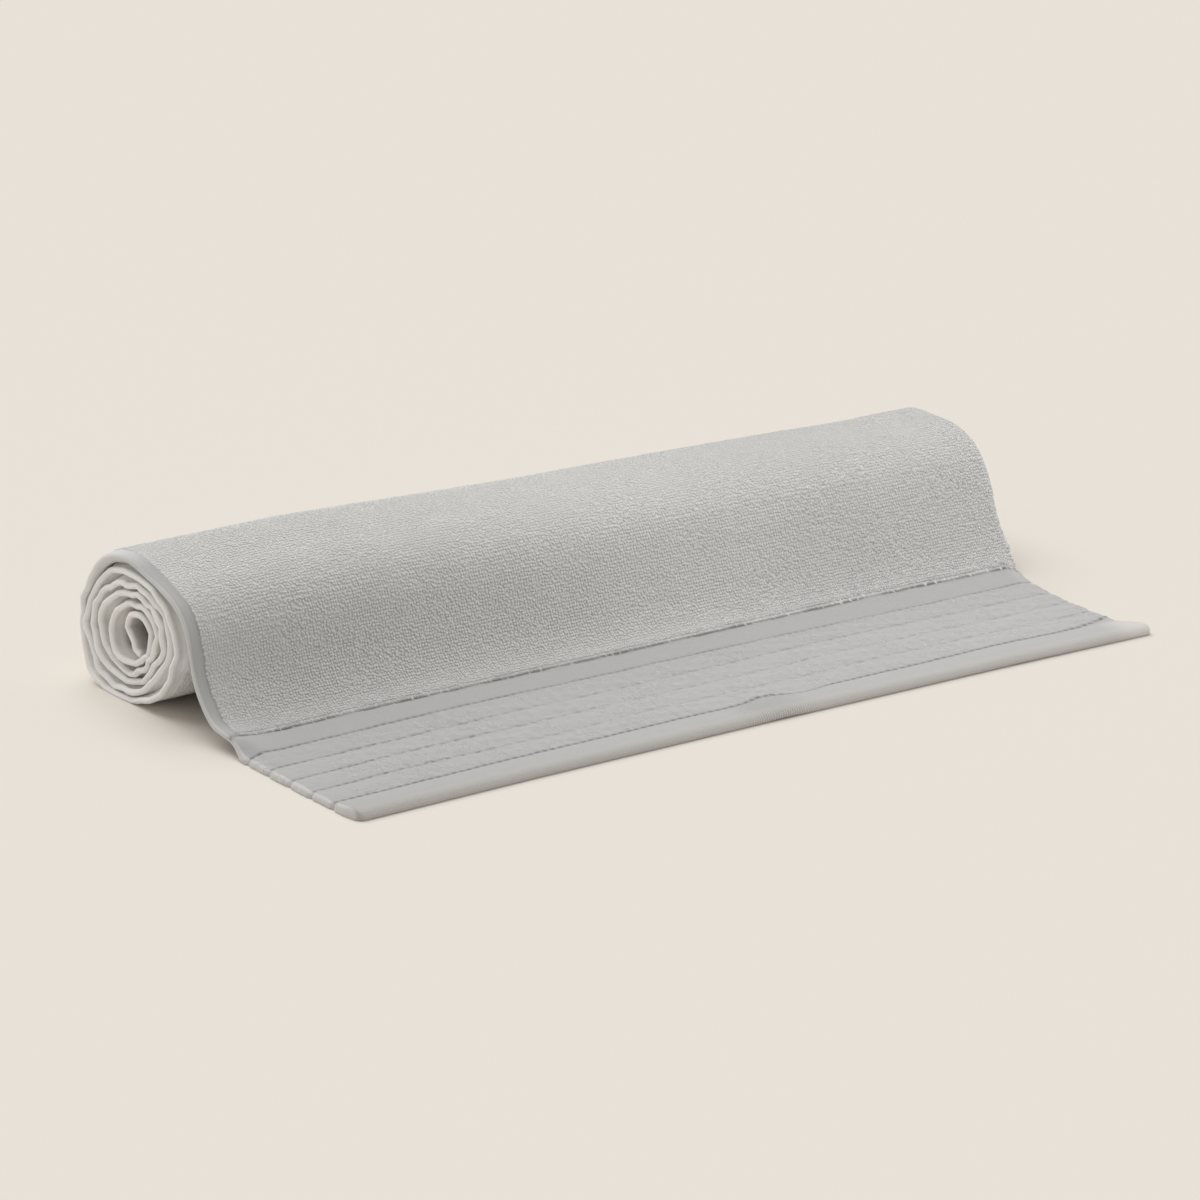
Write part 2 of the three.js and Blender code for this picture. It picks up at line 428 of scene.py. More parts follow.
def right_edge(s):
    """Right edge of the cloth: its tip at the hem reaches out, and so does the foot of the flap."""
    hem_tip = 3.6 * (1 - smooth(s, 6, 15))
    flap_foot = 2.6 * smooth(s, 86, 95) * (1 - smooth(s, 100, 140))
    corner = np.clip(CORNER_RADIUS - s, 0, CORNER_RADIUS)
    inset = CORNER_RADIUS - np.sqrt(CORNER_RADIUS**2 - corner**2)
    straight = table(RIGHT_EDGE, 1, s) + hem_tip + flap_foot - inset
    return straight - 0.4 * line_notch(s) - edge_wander(s, 2.0)


def edge_wander(s, phase):
    """Small waves of a side edge; the turns inside the roll stand back by different amounts."""
    wound = smooth(s, 400, 470)
    waves = 0.5 * wave(s, 61, phase) + 0.35 * wave(s, 23, 2 * phase + 1) + 0.35
    return (0.4 + 0.7 * wound) * waves + wound * 0.7 + 0.8 * wound * wave(s, 133, phase)


def line_place(line, x):
    """Distance of a stitched line from the sewn edge, at one place along it."""
    place = HEM_DEPTH + line * BAND_DEPTH + 0.12 * wave(x, 17, line) + 0.1 * wave(x, 41, 2 * line)
    for row_line, x0, wide, shift in LINE_BENDS:
        place = place + (line == row_line) * shift * np.exp(-(((x - x0) / wide) ** 2))
    hook = 1.2 * np.exp(-np.clip(500 - x, 0, None) / 9) - 1.8 * np.exp(-np.clip(x, 0, None) / 1.1)
    return place + hook


def line_notch(s):
    """One at each stitched line's end, falling off to either side of it."""
    line = np.clip(np.round((s + 0.9 - HEM_DEPTH) / BAND_DEPTH), 0, BAND_COUNT)
    return np.exp(-(((s + 0.9 - HEM_DEPTH - line * BAND_DEPTH) / 1.1) ** 2))


def line_shape(x, s, columns):
    """Sum over the stitched lines of one of their amounts, from left to right, each line a soft trough."""
    total = np.zeros_like(x)
    along = smooth(x, 0, 210)
    for line, row in enumerate(LINES):
        patchy = 0.75 + 0.25 * wave(x, 37, line) * wave(x, 83, 3 * line)
        amount = mix(row[columns[0]], row[columns[1]], along) * (patchy if line else 1.0)
        total = total + amount * np.exp(-(((s - line_place(line, x)) / row[0]) ** 2))
    return total


def line_shift(x, rows):
    """How far the sheet's rows move along the cloth, so that they follow the bends of the stitched lines."""
    shift = np.zeros_like(rows)
    for line in range(len(LINES)):
        straight = HEM_DEPTH + line * BAND_DEPTH
        shift = shift + (line_place(line, x) - straight) * np.exp(-(((rows - straight) / 7.5) ** 2))
    return shift * (1 - smooth(rows, BORDER_DEPTH + 3, BORDER_DEPTH + 12))


def turn_room(curve, forward):
    """Half the room to the next turn outside and to the next one inside, at each sample of the route."""
    out, angle = curve[:, 0] - forward, curve[:, 1] - AXIS_HEIGHT
    radius = np.hypot(out, angle)
    turned = np.maximum.accumulate(np.unwrap(np.arctan2(angle, -out)))
    last = np.argmax((curve[:, 0] > 52) & (curve[:, 1] < 18))
    on_roll = np.arange(len(curve)) < last
    places, reach = turned[on_roll], radius[on_roll]
    beyond = np.interp(turned + 2 * math.pi, places, reach, right=np.nan)
    within = np.interp(turned - 2 * math.pi, places, reach, left=np.nan)
    outside = np.where(on_roll, (beyond - radius) / 2 - 0.15, np.nan)
    inside = np.where(on_roll, (radius - within) / 2 - 0.15, np.nan)
    outside = np.nan_to_num(outside, nan=PILE_GROUND / 2)
    inside = np.nan_to_num(inside, nan=PILE_GROUND / 2 + 0.3)
    return np.clip(outside, 1.1, PILE_MOST / 2), np.clip(inside, 1.1, 4.0)


def half_thickness(s, side, body):
    """From the cloth's middle to one face: folded hem, flat bands, selvedge with a fuller rim, and pile."""
    strip = mix(SELVEDGE_WIDTH, 2.2, smooth(s, 190, 215))
    strip = mix(strip, 4.2, smooth(s, 290, 400))
    inside = smooth(side, strip - 0.6, strip + 2.0)
    rim = mix(0.08, 0.3, smooth(s, 180, 230)) * np.exp(-(((side - 1.5) / 1.3) ** 2))
    rim = rim - 0.25 * np.exp(-(((side - 5.0) / 1.6) ** 2))
    pile = mix(SELVEDGE_CLOTH / 2 + rim, body, inside)
    flat = mix(HEM_CLOTH, FLAT_CLOTH, smooth(s, HEM_DEPTH - 2, HEM_DEPTH + 1)) / 2
    return mix(flat, pile, smooth(s, BORDER_DEPTH - 0.6, BORDER_DEPTH + 1.4))


def edge_rounding(distance, radius):
    """Share of the thickness that is left at a distance from a rounded edge."""
    inside = np.clip(1 - distance / radius, 0, 1)
    return np.sqrt(np.maximum(1 - inside**2, 0.012))


def layer_push(x, s, height, right):
    """How far the cloth's middle stands off its route: dents and swells, a full body, and wavy rims."""
    push = np.zeros_like(x)
    for x0, s0, wide, deep, rise in SWELLS:
        push += rise * np.exp(-(((x - x0) / wide) ** 2) - ((s - s0) / deep) ** 2)
    clear = smooth(height, 6, 16)
    fullness = 1.3 * smooth(x, 2, 16) * smooth(s, 215, 250) * (1 - smooth(s, 400, 440))
    fullness = fullness - 0.9 * smooth(x, 120, 260) * smooth(s, 150, 180) * (1 - smooth(s, 220, 250))
    wound = smooth(s, 200, 260)
    kinks = 0.5 * wave(s, 31, 0.4) + 0.45 * wave(s, 17, 2.1) + 0.5 * wave(s, 11.5, 0.9)
    back_low = 0.6 + 0.4 * wave(s, 118, 0.6)
    rim_drop = -1.5 * (1 - smooth(x, 0.5, 9)) * smooth(s, 165, 200) * (1 - smooth(s, 240, 290))
    far_kinks = 0.42 * wave(s, 29, 1.4) + 0.3 * wave(s, 17, 0.2) + 0.2 * wave(s, 12, 2.9)
    kinks = kinks * (1 + 0.35 * smooth(s, 430, 520)) + 0.6 * wave(s, 9.3) * smooth(s, 560, 640)
    rims = np.exp(-x / 12) * kinks * back_low + np.exp(-(right - x) / 12) * far_kinks
    edge_turn = -1.6 * smooth(x - right, -6, 0) ** 1.5 * smooth(s, 100, 125) * (1 - smooth(s, 240, 300))
    return (push + fullness + edge_turn + rim_drop) * clear + rims * wound


def top_relief(x, s, side, rng):
    """Height added to the outer face: stitched lines, full bands and hem, crinkles, and the pile's edge."""
    groove = -line_shape(x, s, (1, 2)) * (0.35 + 0.65 * smooth(side, 0.4, 3.0))
    share = np.clip((s - HEM_DEPTH) / BAND_DEPTH, 0, BAND_COUNT)
    on_bands = smooth(s, HEM_DEPTH, HEM_DEPTH + 1) * (1 - smooth(s, BORDER_DEPTH - 1, BORDER_DEPTH))
    puff = 0.45 * np.abs(np.sin(math.pi * share)) * on_bands
    hem = 1.5 * np.sin(math.pi * np.clip(s / HEM_DEPTH, 0, 1) ** 0.6)
    top_band = BORDER_DEPTH - BAND_DEPTH
    rough = smooth(s, HEM_DEPTH + 1.5, HEM_DEPTH + 4) * (1 - smooth(s, top_band - 3, top_band))
    middle = smooth(x, 15, 60)
    creases = 0.3 * wave(x + 0.7 * s, 13.0) * wave(x - 1.3 * s, 21.0, 1.0)
    creases = creases + 0.2 * wave(x + 2.1 * s, 9.0, 2.0)
    outer = 1 - smooth(s, 330, 420)
    pile = smooth(s, BORDER_DEPTH + 0.6, BORDER_DEPTH + 2.2)
    pile = pile * smooth(side, SELVEDGE_WIDTH, SELVEDGE_WIDTH + 1.2)
    lumps = rng.normal(0, 0.05, x.shape) * pile * outer
    return groove + puff + hem + creases * rough * middle + lumps


def sheet_faces(shares, rows, length, rng):
    """Points of the cloth's outer and inner face, rows by columns by three, in the model's frame."""
    s = np.array(rows)[:, None] * np.ones(len(shares))
    share = np.ones(len(rows))[:, None] * shares
    s = s + line_shift(mix(left_edge(s), right_edge(s), share), s)
    left, right = left_edge(s), right_edge(s)
    x = mix(left, right, share)
    side = np.minimum(x - left, right - x)
    # the right side edge turns under, so that its selvedge doesn't show on the outer turn
    side = np.where((x > TOWEL_WIDTH / 2) & (s > BORDER_DEPTH), side + 9 * (1 - smooth(s, 260, 320)), side)
    forward, height, outside, inside = (np.empty_like(s) for _ in range(4))
    for column, along in enumerate(shares):
        curve, back = trace_route(along)
        room = turn_room(curve, table(STATIONS, 1, along))
        span = back[0]
        # rows beyond the border keep their share of the way to the inner end
        beyond = s[:, column] - BORDER_DEPTH
        stretched = BORDER_DEPTH + beyond * (span - BORDER_DEPTH) / (length - BORDER_DEPTH)
        place = np.where(beyond <= 0, s[:, column], stretched)
        forward[:, column] = np.interp(place, back[::-1], curve[::-1, 0])
        height[:, column] = np.interp(place, back[::-1], curve[::-1, 1])
        outside[:, column] = np.interp(place, back[::-1], room[0][::-1])
        inside[:, column] = np.interp(place, back[::-1], room[1][::-1])

    def normals():
        df, dh = np.gradient(forward, axis=0), np.gradient(height, axis=0)
        size = np.hypot(df, dh) + 1e-9
        return dh / size, -df / size

    real_side = np.minimum(x - left, right - x)
    soft_edge = mix(1.9, 1.25, smooth(s, 90, 97)) + 0.75 * smooth(s, 190, 215)
    ends = edge_rounding(real_side, soft_edge) * edge_rounding(length - s, 1.1)
    half = half_thickness(s, side, outside)
    under = half_thickness(s, side, inside)
    droop = (1 - smooth(real_side, 1.0, 11.0)) * (1 - smooth(height, 3.5, 13.0)) * (s < 190)
    droop = droop * (1 - smooth(s, 80, 92) * (x < TOWEL_WIDTH / 2))
    nf, nh = normals()
    push = layer_push(x, s, height, right)
    forward += nf * push
    height += nh * push
    for x0, s0, wide, deep, rise in BORDER_RISES:
        height += rise * np.exp(-(((x - x0) / wide) ** 2) - ((s - s0) / deep) ** 2)
    height = mix(height, np.minimum(height, half * 0.9), droop)
    nf, nh = normals()
    relief = top_relief(x, s, side, rng)
    floor_lift = np.maximum(0, half - height)
    up = (half + relief) * ends * edge_rounding(s, 3.4) + floor_lift
    # the border's lower edge is fuller, as it stands on the surface
    low_edge = mix(0.8, soft_edge, smooth(s, 88, 110))
    low_ends = edge_rounding(real_side, low_edge) * edge_rounding(length - s, 1.1)
    down = -under * low_ends * edge_rounding(s, 0.7)

    def place(offset, least):
        y = -(forward + nf * offset) + SHIFT_Y
        z = np.maximum(least, height + nh * offset)
        return np.stack([x + SHIFT_X, y, z], axis=-1) * MM

    return place(up, 0.25), place(down, 0.0), s, x, side


def build_sheet():
    rng = np.random.default_rng(11)
    _, back = trace_route(0.0)
    length = float(back[0])
    parts = (
        # share of the middle columns, rows
        (BORDER_SPLIT, np.array(border_rows())),
        (OUTER_SPLIT, outer_rows()),
        (1, inner_rows(length)),
    )
    points, faces, uv = [], [], []
    marks = {"sheet": [], "pile": [], "bands": [], "stitch_and_shade": [], "foot": []}

    def add_grid(grid, s, x, side, outside):
        start = sum(len(block) for block in points)
        points.append(grid.reshape(-1, 3))
        uv.append(np.stack([x, s], axis=-1).reshape(-1, 2) * MM)
        inside = smooth(side, SELVEDGE_WIDTH - 0.3, SELVEDGE_WIDTH + 1.0)
        pile = smooth(s, BORDER_DEPTH + 0.1, BORDER_DEPTH + 1.2) * inside
        marks["sheet"].append(np.ones_like(s))
        marks["pile"].append(pile)
        on_border = 1 - smooth(s, BORDER_DEPTH, BORDER_DEPTH + 0.5)
        marks["bands"].append(on_border * smooth(s, HEM_DEPTH, HEM_DEPTH + 0.5))
        # painted shade where the pile starts beside the flap's selvedge
        pile_side_shade = 0.45 * np.exp(-(((side - SELVEDGE_WIDTH - 0.3) / 0.8) ** 2))
        pile_side_shade = pile_side_shade * smooth(s, 96, 110) * (1 - smooth(s, 150, 175))
        marks["stitch_and_shade"].append(np.clip(line_shape(x, s, (3, 4)) + pile_side_shade, 0, 1) * outside)
        # the sheet under the loops takes the same painted shade as the loops' foot
        looped = (1 - smooth(s, LOOP_END - 12, LOOP_END)) * (1 - 0.8 * smooth(x, 210, 420))
        marks["foot"].append(pile * looped * outside)
        return np.arange(start, start + grid.shape[0] * grid.shape[1]).reshape(grid.shape[:2])

    def add_quads(a, b, c, d):
        faces.extend(np.stack([a, b, c, d], axis=-1).reshape(-1, 4).tolist())

    grids = []
    for split, rows in parts:
        over, under, s, x, side = sheet_faces(column_shares(split), rows, length, rng)
        top = add_grid(over, s, x, side, 1.0)
        bottom = add_grid(under, s, x, side, 0.0)
        grids.append((split, top, bottom))
        add_quads(top[:-1, :-1], top[:-1, 1:], top[1:, 1:], top[1:, :-1])
        add_quads(bottom[1:, :-1], bottom[1:, 1:], bottom[:-1, 1:], bottom[:-1, :-1])
        add_quads(top[:-1, 0], top[1:, 0], bottom[1:, 0], bottom[:-1, 0])
        add_quads(top[1:, -1], top[:-1, -1], bottom[:-1, -1], bottom[1:, -1])
        if split == OUTER_SPLIT:
            field = (over, rows, column_shares(split))
    _, top, bottom = grids[0]
    add_quads(top[0, 1:], top[0, :-1], bottom[0, :-1], bottom[0, 1:])
    _, top, bottom = grids[-1]
    add_quads(top[-1, :-1], top[-1, 1:], bottom[-1, 1:], bottom[-1, :-1])
    for (fine, *fine_faces), (coarse, *coarse_faces) in zip(grids[:-1], grids[1:]):
        join_parts(faces, fine // coarse, MIDDLE_COLUMNS * coarse, fine_faces, coarse_faces)

    marks = {name: np.concatenate([block.reshape(-1) for block in blocks]) for name, blocks in marks.items()}
    towel = add_piece("terry_towel", np.vstack(points), faces, np.vstack(uv), marks)
    return towel, length, field


def join_parts(faces, split, middle, fine, coarse):
    """Joins two parts of the sheet whose columns differ: each wide gap meets its narrow ones in one face."""
    edge = len(EDGE_COLUMNS)
    wide = coarse[0].shape[1]
    place_of = list(range(edge)) + [edge - 1 + split * step for step in range(1, middle)]
    place_of += list(range(fine[0].shape[1] - edge, fine[0].shape[1]))
    for column in range(wide - 1):
        first, last = place_of[column], place_of[column + 1]
        over_run = fine[0][-1, first : last + 1].tolist()
        under_run = fine[1][-1, first : last + 1].tolist()
        a, b = int(coarse[0][0, column]), int(coarse[0][0, column + 1])
        c, d = int(coarse[1][0, column]), int(coarse[1][0, column + 1])
        faces.append(over_run + [b, a])
        faces.append(under_run[::-1] + [c, d])
    for column in (0, -1):
        ring = [fine[0][-1, column], coarse[0][0, column], coarse[1][0, column], fine[1][-1, column]]
        ring = [int(point) for point in ring]
        faces.append(ring[::-1] if column else ring)


def add_piece(name, points, faces, uv, marks):
    mesh = bpy.data.meshes.new(name)
    mesh.from_pydata(points.tolist(), [], faces)
    layer = mesh.uv_layers.new(name="cloth")
    corner = np.empty(len(mesh.loops), dtype=np.int32)
    mesh.loops.foreach_get("vertex_index", corner)
    layer.data.foreach_set("uv", uv[corner].reshape(-1).astype(np.float32))
    for mark, values in marks.items():
        attribute = mesh.attributes.new(name=mark, type="FLOAT", domain="POINT")
        attribute.data.foreach_set("value", values.astype(np.float32))
    mesh.shade_smooth()
    piece = bpy.data.objects.new(name, mesh)
    bpy.context.scene.collection.objects.link(piece)
    return piece


def build_loops(name, field, first, last, rng):
    """Pile loops of the outer face between two distances from the sewn edge, one small leaning tuft each."""
    grid, rows, shares = field
    s = np.arange(first, last, LOOP_PITCH * 1.04)
    x = np.arange(0, TOWEL_WIDTH + 14, LOOP_PITCH)
    s, x = (block.reshape(-1) for block in np.meshgrid(s, x, indexing="ij"))
    loose = 0.16 + 0.2 * (0.5 + 0.5 * wave(x, 83) * wave(s, 57, 1.0))
    s = s + rng.normal(0, 1, s.shape) * loose * LOOP_PITCH * 0.6
    x = x + rng.normal(0, 1, x.shape) * loose * LOOP_PITCH * 0.6
    left, right = left_edge(s), right_edge(s)
    ragged = rng.normal(0, 0.35, s.shape)
    keep = (x > left + SELVEDGE_WIDTH + 0.6 + ragged) & (x < right - 1.2 - 6 * smooth(s, 300, 340))
    fringe = 1.3 + 0.5 * wave(x, 7.3) * wave(x, 19, 1.0) + rng.normal(0, 0.4, s.shape)
    keep &= s > line_place(BAND_COUNT, x) + fringe
    s, x, left, right = s[keep], x[keep], left[keep], right[keep]

    row = np.interp(s, rows, np.arange(len(rows)))
    column = np.interp((x - left) / (right - left), shares, np.arange(len(shares)))
    r0 = np.minimum(row.astype(int), len(rows) - 2)
    c0 = np.minimum(column.astype(int), len(shares) - 2)
    fr, fc = (row - r0)[:, None], (column - c0)[:, None]
    corners = [grid[r0, c0], grid[r0, c0 + 1], grid[r0 + 1, c0], grid[r0 + 1, c0 + 1]]
    foot = mix(mix(corners[0], corners[1], fc), mix(corners[2], corners[3], fc), fr)
    sideways = mix(corners[1] - corners[0], corners[3] - corners[2], fr)
    backwards = mix(corners[2] - corners[0], corners[3] - corners[1], fc)
    sideways /= np.linalg.norm(sideways, axis=1)[:, None]
    normal = np.cross(sideways, backwards)
    normal /= np.linalg.norm(normal, axis=1)[:, None]
    backwards = np.cross(normal, sideways)

    count = len(s)
    turn = rng.uniform(0, 2 * math.pi, count)
    tall = LOOP_HEIGHT * rng.uniform(0.72, 1.2, count) * (1 - smooth(s, 270, 335))
    tall *= 0.3 + 0.7 * smooth(x - left, SELVEDGE_WIDTH, SELVEDGE_WIDTH + 36)
    tall *= 0.45 + 0.55 * smooth(s, 98, 112)
    tall *= 0.72 + 0.28 * np.exp(-(((s - 130) / 34) ** 2))
    calm = smooth(x, 180, 400)
    tall *= 1 - 0.66 * calm
    wide = LOOP_RADIUS * rng.uniform(0.85, 1.15, count) * (1 + 0.28 * calm)
    lean_x = rng.normal(0, 0.3, count) * (1 - 0.5 * calm)
    lean_s = rng.normal(-0.2, 0.3, count) * (1 - 0.5 * calm)
    points = np.empty((count, LOOP_POINTS, 3))
    across = np.empty((count, LOOP_POINTS, 2))
    loop_foot_shade = np.empty((count, LOOP_POINTS))
    for index in range(LOOP_POINTS):
        if index < LOOP_POINTS - 1:
            angle = turn + index * math.pi / 2
            low = index < 4
            radius = wide * (0.7 if low else 1.0)
            rise = np.full(count, -0.4) if low else (0.5 + 0.25 * calm) * tall
            lean = 0.0 if low else 0.45
            # painted shade at the loops' foot and, more lightly, round their middle; less of it on the right
            loop_foot_shade[:, index] = (1.0 if low else 0.25) * (1 - 0.8 * calm)
            dx, ds = radius * np.cos(angle) + lean * lean_x, radius * np.sin(angle) + lean * lean_s
        else:
            dx, ds, rise = lean_x, lean_s, tall
            loop_foot_shade[:, index] = 0.0
        offset = sideways * dx[:, None] + backwards * ds[:, None] + normal * rise[:, None]
        points[:, index] = foot + offset * MM
        across[:, index] = np.stack([x + dx, s + ds], axis=-1) * MM
    points[:, :, 2] = np.maximum(points[:, :, 2], 0.0002)

    start = LOOP_POINTS * np.arange(count)[:, None]
    walls = [[i, (i + 1) % 4, 4 + (i + 1) % 4, 4 + i] for i in range(4)]
    tops = [[4 + i, 4 + (i + 1) % 4, 8] for i in range(4)]
    faces = (start[:, None] + np.array(walls)).reshape(-1, 4).tolist()
    faces += (start[:, None] + np.array(tops)).reshape(-1, 3).tolist()
    blank = np.zeros(LOOP_POINTS * count)
    marks = {"sheet": blank, "pile": blank, "bands": blank, "stitch_and_shade": blank, "foot": loop_foot_shade.reshape(-1)}
    return add_piece(name, points.reshape(-1, 3), faces, across.reshape(-1, 2), marks)


class Nodes:
    """Short way to write a material's nodes."""

    def __init__(self, name):
        self.material = bpy.data.materials.new(name)
        self.material.use_nodes = True
        self.tree = self.material.node_tree
        self.shader = self.tree.nodes["Principled BSDF"]

    def link(self, source, target):
        self.tree.links.new(source, target)

    def add(self, kind, **values):
        node = self.tree.nodes.new(kind)
        for key, value in values.items():
            setattr(node, key, value)
        return node

    def put(self, socket, value):
        if isinstance(value, bpy.types.NodeSocket):
            self.link(value, socket)
        else:
            socket.default_value = value

    def math(self, operation, a, b=0.0, c=0.0):
        node = self.add("ShaderNodeMath", operation=operation)
        for socket, value in zip(node.inputs, (a, b, c)):
            self.put(socket, value)
        return node.outputs[0]

    def times(self, first, *others):
        for value in others:
            first = self.math("MULTIPLY", first, value)
        return first

    def less(self, value):
        """One less the value."""
        return self.math("SUBTRACT", 1.0, value)

    def step(self, value, low, high):
        """Smooth step up from 0 to 1."""
        node = self.add("ShaderNodeMapRange", interpolation_type="SMOOTHSTEP", clamp=True)
        for name, item in (("Value", value), ("From Min", low), ("From Max", high)):
            self.put(node.inputs[name], item)
        return node.outputs["Result"]

    def drop(self, value, low, high):
        """Smooth step down from 1 to 0."""
        return self.less(self.step(value, low, high))

    def colour(self, share, a, b):
        """From colour a to colour b."""
        node = self.add("ShaderNodeMix", data_type="RGBA")
        self.put(node.inputs[0], share)
        self.put(node.inputs[6], a)
        self.put(node.inputs[7], b)
        return node.outputs[2]


def terry_material():
    """Looped cotton: loops in rows, a plain weave at the selvedge, crinkled bands and stitched lines."""
    n = Nodes("terry_cotton")
    uv = n.add("ShaderNodeUVMap", uv_map="cloth")
    split = n.add("ShaderNodeSeparateXYZ")
    n.link(uv.outputs[0], split.inputs[0])
    across, back = split.outputs[0], split.outputs[1]
    pile = n.add("ShaderNodeAttribute", attribute_name="pile").outputs["Fac"]
    bands = n.add("ShaderNodeAttribute", attribute_name="bands").outputs["Fac"]
    stitch_and_shade = n.add("ShaderNodeAttribute", attribute_name="stitch_and_shade").outputs["Fac"]
    foot = n.add("ShaderNodeAttribute", attribute_name="foot").outputs["Fac"]
    is_sheet = n.add("ShaderNodeAttribute", attribute_name="sheet").outputs["Fac"]

    def pattern(across_scale, back_scale):
        node = n.add("ShaderNodeCombineXYZ")
        n.link(n.math("MULTIPLY", across, across_scale), node.inputs[0])
        n.link(n.math("MULTIPLY", back, back_scale), node.inputs[1])
        return node.outputs[0]

    def noise(vector, scale, detail=2.0, rough=0.5):
        node = n.add("ShaderNodeTexNoise", noise_dimensions="2D")
        n.link(vector, node.inputs["Vector"])
        node.inputs["Scale"].default_value = scale
        node.inputs["Detail"].default_value = detail
        node.inputs["Roughness"].default_value = rough
        return node.outputs[0]

    # loops: one to a cell, about 2 mm apart
    loops = n.add("ShaderNodeTexVoronoi", voronoi_dimensions="2D", feature="F1")
    n.link(pattern(520.0, 480.0), loops.inputs["Vector"])
    loops.inputs["Scale"].default_value = 1.0
    loops.inputs["Randomness"].default_value = 0.62
    loop_height = n.less(loops.outputs["Distance"])
    patches = noise(pattern(1.0, 1.0), 95.0, 3.0, 0.6)
    broad = noise(pattern(1.0, 1.0), 22.0, 2.0, 0.5)
    fibre = noise(pattern(1.0, 1.0), 1500.0, 2.0, 0.6)
    loop_relief = n.times(loop_height, n.math("ADD", 0.55, patches))
    loop_relief = n.math("ADD", loop_relief, n.times(fibre, 0.35))
    # the pile grows calmer to the right
    quiet = n.less(n.times(n.step(across, 0.20, 0.42), 0.8))
    loop_relief = n.times(loop_relief, quiet)

    # plain weave of the selvedge, hem and bands
    ribs = n.add("ShaderNodeTexWave", wave_type="BANDS", bands_direction="X")
    n.link(pattern(1.0, 1.0), ribs.inputs["Vector"])
    ribs.inputs["Scale"].default_value = 210.0
    ribs.inputs["Distortion"].default_value = 1.4
    ribs.inputs["Detail"].default_value = 1.0
    ribs.inputs["Detail Scale"].default_value = 0.4
    weave = n.math("ADD", n.times(ribs.outputs["Fac"], 0.05), n.times(fibre, 0.25))

    # crinkles between the second and the last line
    crinkle_zone = n.times(bands, n.drop(back, 0.0775, 0.0795))
    crinkle = n.add("ShaderNodeTexVoronoi", voronoi_dimensions="2D", feature="SMOOTH_F1")
    bent = n.add("ShaderNodeVectorMath", operation="ADD")
    n.link(pattern(150.0, 210.0), bent.inputs[0])
    wobble = n.add("ShaderNodeTexNoise", noise_dimensions="2D")
    n.link(pattern(1.0, 1.0), wobble.inputs["Vector"])
    wobble.inputs["Scale"].default_value = 170.0
    n.link(wobble.outputs["Color"], bent.inputs[1])
    n.link(bent.outputs[0], crinkle.inputs["Vector"])
    crinkle.inputs["Scale"].default_value = 1.0
    slant = n.add("ShaderNodeMapping")
    n.link(pattern(1.0, 1.0), slant.inputs["Vector"])
    slant.inputs["Rotation"].default_value = (0.0, 0.0, 0.45)
    slant.inputs["Scale"].default_value = (1.6, 0.9, 1.0)
    fold = n.math("ABSOLUTE", n.math("SUBTRACT", noise(slant.outputs[0], 120.0, 2.0, 0.55), 0.5))
    stroke_patches = n.step(noise(pattern(1.0, 1.0), 40.0), 0.42, 0.62)
    strokes = n.times(n.drop(fold, 0.0, 0.07), crinkle_zone, stroke_patches)
    crease = n.times(crinkle.outputs["Distance"], crinkle_zone)
    crease = n.math("ADD", n.times(crease, 0.7), n.times(strokes, 0.55))

    # short pleats where the hem gathers, near its middle
    gather = n.drop(n.math("ABSOLUTE", n.math("SUBTRACT", across, 0.258)), 0.006, 0.03)
    gather = n.times(gather, n.drop(back, 0.017, 0.02), n.times(ribs.outputs["Fac"], 0.5))
    flat_relief = n.math("ADD", n.math("ADD", weave, crease), gather)

    relief = n.add("ShaderNodeMix", data_type="FLOAT")
    n.link(pile, relief.inputs[0])
    n.link(flat_relief, relief.inputs[2])
    n.link(loop_relief, relief.inputs[3])
    bump = n.add("ShaderNodeBump")
    bump.inputs["Strength"].default_value = 0.65
    bump.inputs["Distance"].default_value = 0.0011
    n.link(relief.outputs[0], bump.inputs["Height"])
    n.link(bump.outputs[0], n.shader.inputs["Normal"])

    # pile: pale grey, with painted shade between the loops, and painted shade on the front at the left
    painted_gap_shade = n.times(n.step(loops.outputs["Distance"], 0.3, 0.95), n.math("SUBTRACT", pile, foot))
    painted_gap_shade = n.math("MAXIMUM", painted_gap_shade, foot)
    shade = n.times(painted_gap_shade, n.math("ADD", 0.35, n.times(patches, 0.7)), quiet)
    cloth = n.colour(shade, LOOP_PALE, LOOP_GAP_SHADE)
    cloth = n.colour(n.times(n.step(broad, 0.35, 0.75), 0.25), cloth, BROAD_PATCH)
    # painted shade on the front of the roll, deepest at the left and fading to the right
    front = n.times(n.drop(back, 0.160, 0.185), n.drop(across, 0.0, 0.45))
    cloth = n.colour(n.times(front, 0.8), cloth, FRONT_LEFT_PAINTED_SHADE)
    # painted shade in place of the loops' own shadows, where the loops grow low on the right
    calm = n.times(n.step(across, 0.21, 0.42), n.drop(back, 0.25, 0.33))
    cloth = n.colour(calm, cloth, CALM_RIGHT_PAINTED_SHADE)

    # flat weave of the flap's selvedges and the border, and the hem
    flap = n.times(n.drop(back, 0.185, 0.235), n.less(n.math("MAXIMUM", pile, foot)))
    cloth = n.colour(n.times(flap, is_sheet), cloth, FLAT_WEAVE)
    hem = n.times(n.drop(back, 0.015, 0.02), is_sheet)
    cloth = n.colour(hem, cloth, HEM_FACE)
    # painted highlights on the crinkles' folds
    cloth = n.colour(n.times(strokes, 0.35), cloth, CRINKLE_PAINTED_HIGHLIGHT)

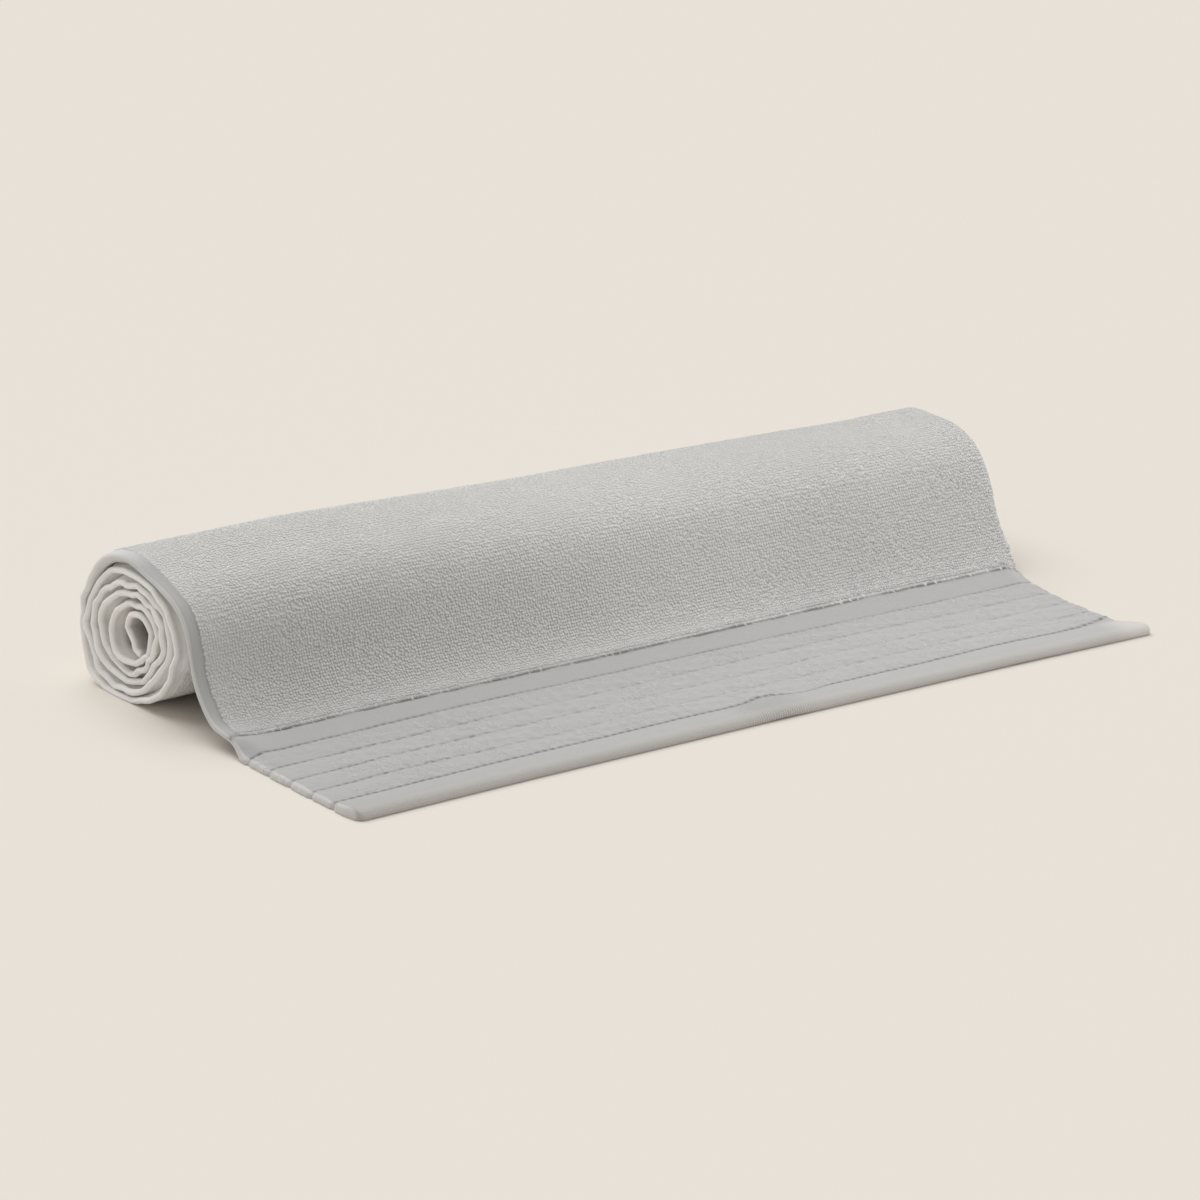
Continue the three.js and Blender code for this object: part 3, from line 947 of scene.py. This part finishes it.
    # open end of the roll: pale turns brightened with painted light, round a core in painted shade, and a
    # painted highlight on the flap's side edge
    seen_inside = n.math("MAXIMUM", n.drop(across, 0.008, 0.03), n.step(back, 0.40, 0.43))
    cloth = n.colour(n.times(n.step(back, 0.21, 0.3), seen_inside, 0.9), cloth, INNER_TURNS_PALE_WITH_PAINTED_LIGHT)
    core = n.times(n.step(back, 0.70, 0.84), n.step(across, 0.001, 0.010), n.drop(across, 0.25, 0.35))
    cloth = n.colour(n.times(core, 0.85), cloth, CORE_SHADE)
    # painted highlight along the flap's left side edge
    rim = n.drop(across, 0.0004, 0.0017)
    cloth = n.colour(n.times(rim, flap, is_sheet), cloth, SIDE_RIM_PAINTED_HIGHLIGHT)

    # the hem's low edge and its tip take the floor's warm light
    cloth = n.colour(n.times(n.drop(back, 0.0002, 0.008), 0.25), cloth, HEM_LOW_EDGE)
    tip = n.times(n.step(across, 0.478, 0.498), n.drop(back, 0.012, 0.02))
    cloth = n.colour(tip, cloth, HEM_TIP)

    # stitched lines: dashes in the border; at the pile's edge, ragged teeth of painted shade under the loops'
    # overhang
    dash = n.add("ShaderNodeTexWave", wave_type="BANDS", bands_direction="X")
    n.link(pattern(1.0, 1.0), dash.inputs["Vector"])
    dash.inputs["Scale"].default_value = 68.0
    dash.inputs["Distortion"].default_value = 1.0
    dashes = n.math("ADD", 0.45, n.times(n.step(dash.outputs["Fac"], 0.2, 0.7), 0.55))
    teeth = n.step(noise(pattern(1.0, 0.6), 420.0, 1.0, 0.5), 0.2, 0.5)
    pile_edge = n.step(back, 0.086, 0.088)
    stitches = n.math("ADD", n.times(dashes, n.less(pile_edge)), n.times(teeth, pile_edge))
    cloth = n.colour(n.times(stitch_and_shade, stitches), cloth, STITCHES_AND_PAINTED_SHADE)
    n.link(cloth, n.shader.inputs["Base Color"])
    n.shader.inputs["Roughness"].default_value = 0.95
    n.shader.inputs["Specular IOR Level"].default_value = 0.15
    n.shader.inputs["Subsurface Weight"].default_value = 0.3
    n.shader.inputs["Subsurface Radius"].default_value = (1.0, 0.95, 0.88)
    n.shader.inputs["Subsurface Scale"].default_value = 0.0022
    n.shader.inputs["Sheen Weight"].default_value = 0.7
    n.shader.inputs["Sheen Roughness"].default_value = 0.6
    return n.material


add_camera()
add_stage()
add_sun()
towel, towel_length, pile_field = build_sheet()
loop_rng = np.random.default_rng(23)
loops = [build_loops(name, pile_field, first, last, loop_rng) for name, first, last in LOOP_PIECES]
terry = terry_material()
for piece in [towel] + loops:
    piece.data.materials.append(terry)
    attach(piece, "root")
add_side_light([towel] + loops)
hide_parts("towel_cloth")
